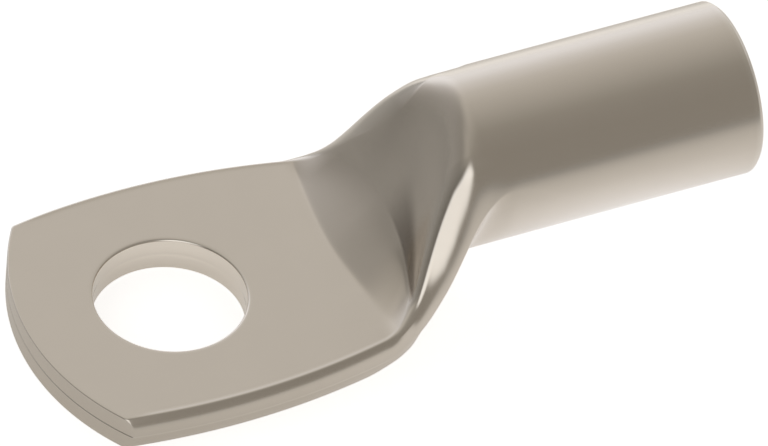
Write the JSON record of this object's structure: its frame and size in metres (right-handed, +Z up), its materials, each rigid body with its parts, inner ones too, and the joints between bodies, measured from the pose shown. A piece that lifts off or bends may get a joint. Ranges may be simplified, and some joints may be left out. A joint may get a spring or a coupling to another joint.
{
  "type": "copper cable lug",
  "caption": "Tubular cable lug pressed from one length of round copper tube: flat palm with a stud hole, folded neck and round crimp barrel, tin plated.",
  "frame": {"origin": "on the stud hole's axis, in the plane of the palm's underside", "axes": "+X from the palm to the barrel's mouth, +Z up from the palm's underside to its top face, +Y completes a right-handed frame"},
  "size_m": [0.064, 0.027, 0.018],
  "materials": {
    "tinned_copper": "satin tin plating over copper, drawn lengthwise, with light handling scratches"
  },
  "bodies": {
    "root": {"cable_lug": "tinned_copper"}
  },
  "joints": []
}
